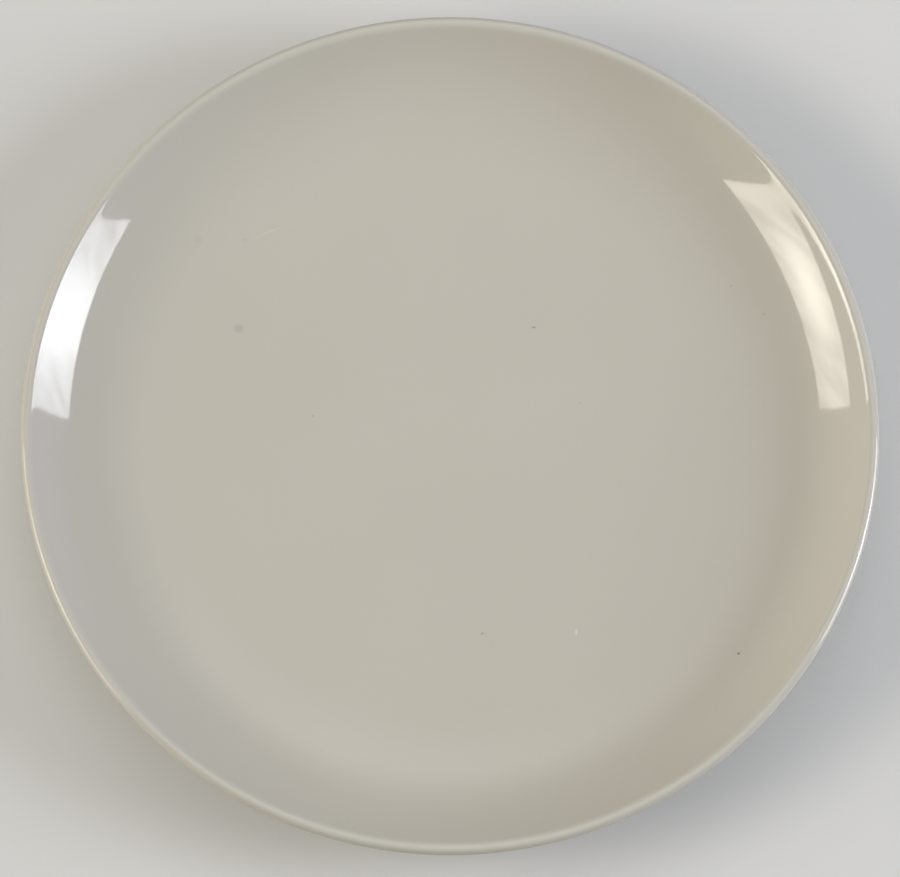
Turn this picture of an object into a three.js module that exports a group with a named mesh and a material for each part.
// A coupe bread and butter plate: one fired clay body, with a glossy glaze fused over it.
// Millimetres, +Z up. The origin is the centre of the ring that the plate stands on.
import * as THREE from "three";

// Clay body, without its glaze
const bodyDiameter = 164.4;
const bodyHeight = 16.7;
const floorThickness = 3.7;

// Lip: the length of its inner side, which rolls over up to its crest, and the radius of its outer side
const lipCurl = 1.45;
const lipRound = 0.85;

// Foot ring, formed in one piece with the body
const footDiameter = 94;
const footWidth = 3.6;
const footHeight = 3;
const recessDepth = 2.6;
const footDraft = THREE.MathUtils.degToRad(12);
const footFillet = 1.2;
const filletLimit = 0.9; // of the flank's room above the bare band
const footEdge = 0.4;

// Level ledge outside the foot, and the room in the well round the foot of a plate stacked on it
const shoulderWidth = 5;
const stackClearance = 7.5;

// Glaze, and the height up to which it is wiped off the foot
const glazeThickness = 0.3;
const bareBand = 0.7;

// Facets round the plate, along a wall, on the lip's two sides, and in a fillet or an edge of the foot
const turnSteps = 72;
const wallSteps = 6;
const curlSteps = 3;
const lipSteps = 4;
const filletSteps = 3;
const edgeSteps = 2;

// Halvings of the range that the inner wall's slope is looked for in
const slopeHalvings = 50;

const quarterTurn = Math.PI / 2;
const halfTurn = Math.PI;

// An outline is a list of points (radius, height). It runs from the middle of the well out over the
// lip and back under the plate to its middle, so the clay is always on its right.
const footRadius = footDiameter / 2;
const crest = new THREE.Vector2(bodyDiameter / 2 - lipRound, bodyHeight);
const lipCentre = new THREE.Vector2(crest.x, crest.y - lipRound);
const wellEdge = new THREE.Vector2(footRadius + stackClearance, recessDepth + floorThickness);
const shoulderEdge = new THREE.Vector2(footRadius + shoulderWidth, footHeight);

function arcPoints(centre, radius, startAngle, endAngle, steps) {
  const clockwise = endAngle < startAngle;
  const arc = new THREE.EllipseCurve(
    centre.x, centre.y, radius, radius, startAngle, endAngle, clockwise,
  );
  return arc.getPoints(steps);
}

// The inner side of the lip, from the wall's slope up to level, at the crest where it ends. The slope
// falls off ever faster on the way, so the lip is gentle where it leaves the wall and tight on top.
function curlPoints(slope) {
  const stride = new THREE.Vector2(lipCurl / curlSteps, 0);
  const points = [new THREE.Vector2()];
  for (let i = 0; i < curlSteps; i++) {
    const angle = slope * (1 - ((i + 0.5) / curlSteps) ** 2);
    points.push(stride.clone().rotateAround(new THREE.Vector2(), angle).add(points[i]));
  }
  const toCrest = crest.clone().sub(points.at(-1));
  return points.map((point) => point.add(toCrest));
}

// The slope at which an arc that leaves the well level is as high as the curl that it runs into.
function innerSlope() {
  let low = 0;
  let high = quarterTurn;
  for (let i = 0; i < slopeHalvings; i++) {
    const middle = (low + high) / 2;
    const end = curlPoints(middle)[0].sub(wellEdge);
    if (end.x * Math.tan(middle / 2) < end.y) {
      low = middle;
    } else {
      high = middle;
    }
  }
  return high;
}

// The outer wall's arc, which leaves the shoulder level and runs tangent into the lip's outer side.
function outerArc() {
  const run = lipCentre.x - shoulderEdge.x;
  const rise = lipCentre.y - shoulderEdge.y;
  const radius = (run ** 2 + rise ** 2 - lipRound ** 2) / (2 * (rise - lipRound));
  const centre = new THREE.Vector2(shoulderEdge.x, shoulderEdge.y + radius);
  return { centre, radius, slope: Math.atan2(run, radius - rise) };
}

// Well, inner wall, lip, outer wall and shoulder. Each stretch starts where the one before it ended.
function plateOutline() {
  const slope = innerSlope();
  const curl = curlPoints(slope);
  const innerRadius = (curl[0].x - wellEdge.x) / Math.sin(slope);
  const innerCentre = new THREE.Vector2(wellEdge.x, wellEdge.y + innerRadius);
  const outer = outerArc();
  const outerStart = outer.slope - quarterTurn;
  return [
    new THREE.Vector2(0, wellEdge.y),
    ...arcPoints(innerCentre, innerRadius, -quarterTurn, slope - quarterTurn, wallSteps),
    ...curl.slice(1),
    ...arcPoints(lipCentre, lipRound, quarterTurn, outerStart, lipSteps).slice(1),
    ...arcPoints(outer.centre, outer.radius, outerStart, -quarterTurn, wallSteps).slice(1),
  ];
}

// One flank of the foot, from its root down to its bearing face, drawn as the outer flank, side +1,
// and turned over for the inner one, side -1. The root's fillet stops above the bare band.
function footFlank(side, edgeRadius, rootHeight) {
  const spreadAt = (height) => height * Math.tan(footDraft);
  const filletRoom = (rootHeight - bareBand) / (1 - Math.sin(footDraft));
  const fillet = Math.min(footFillet, filletLimit * filletRoom);
  const filletHeight = rootHeight - fillet;
  const filletCentre = new THREE.Vector2(
    spreadAt(filletHeight) + fillet / Math.cos(footDraft), filletHeight,
  );
  const edgeCentre = new THREE.Vector2(
    spreadAt(footEdge) - footEdge / Math.cos(footDraft), footEdge,
  );
  const glazed = [
    ...arcPoints(filletCentre, fillet, quarterTurn, halfTurn - footDraft, filletSteps),
    new THREE.Vector2(spreadAt(bareBand), bareBand),
  ];
  const bare = arcPoints(edgeCentre, footEdge, -footDraft, -quarterTurn, edgeSteps);
  const place = (point) => new THREE.Vector2(edgeRadius + side * point.x, point.y);
  return { glazed: glazed.map(place), bare: bare.map(place) };
}

// An outline moved out by the glaze's thickness, with a mitre wherever two stretches meet.
function glazeOver(outline) {
  const normals = outline.slice(1).map((end, i) => {
    const along = end.clone().sub(outline[i]).normalize();
    return new THREE.Vector2(-along.y, along.x);
  });
  return outline.map((point, i) => {
    const before = normals[Math.max(i - 1, 0)];
    const after = normals[Math.min(i, normals.length - 1)];
    const mitre = before.clone().add(after).divideScalar(1 + before.dot(after));
    return point.clone().addScaledVector(mitre, glazeThickness);
  });
}

const outerFlank = footFlank(1, footRadius, footHeight);
const innerFlank = footFlank(-1, footRadius - footWidth, recessDepth);
const faceOutline = [...plateOutline(), ...outerFlank.glazed];
const bareOutline = [...outerFlank.bare, ...innerFlank.bare.toReversed()];
const recessOutline = [...innerFlank.glazed.toReversed(), new THREE.Vector2(0, recessDepth)];

function firedClay() {
  return new THREE.MeshStandardMaterial({ color: 0xd9d2c3, roughness: 0.85, metalness: 0 });
}

function glossGlaze() {
  return new THREE.MeshStandardMaterial({ color: 0xbdb9ad, roughness: 0.06, metalness: 0 });
}

// Turned about Z. Taken from its end back to its start, an outline gives faces that look outwards.
function turned(name, outline, material) {
  const geometry = new THREE.LatheGeometry(outline.toReversed(), turnSteps).rotateX(quarterTurn);
  const mesh = new THREE.Mesh(geometry, material);
  mesh.name = name;
  return mesh;
}

// The body as it leaves the first firing.
function clayBody() {
  return turned("clay_body", [...faceOutline, ...bareOutline, ...recessOutline], firedClay());
}

// The glaze on the face, over the lip and down the back as far as the wiped foot.
function glazeCoat() {
  const outline = [...glazeOver(faceOutline), ...faceOutline.toReversed()];
  return turned("glaze_coat", outline, glossGlaze());
}

// The glaze in the recess inside the foot, which the wiped foot parts from the rest.
function recessGlaze() {
  const outline = [...recessOutline.toReversed(), ...glazeOver(recessOutline)];
  return turned("recess_glaze", outline, glossGlaze());
}

const plate = new THREE.Group();
plate.name = "bread_plate";
plate.add(clayBody(), glazeCoat(), recessGlaze());

export default plate;
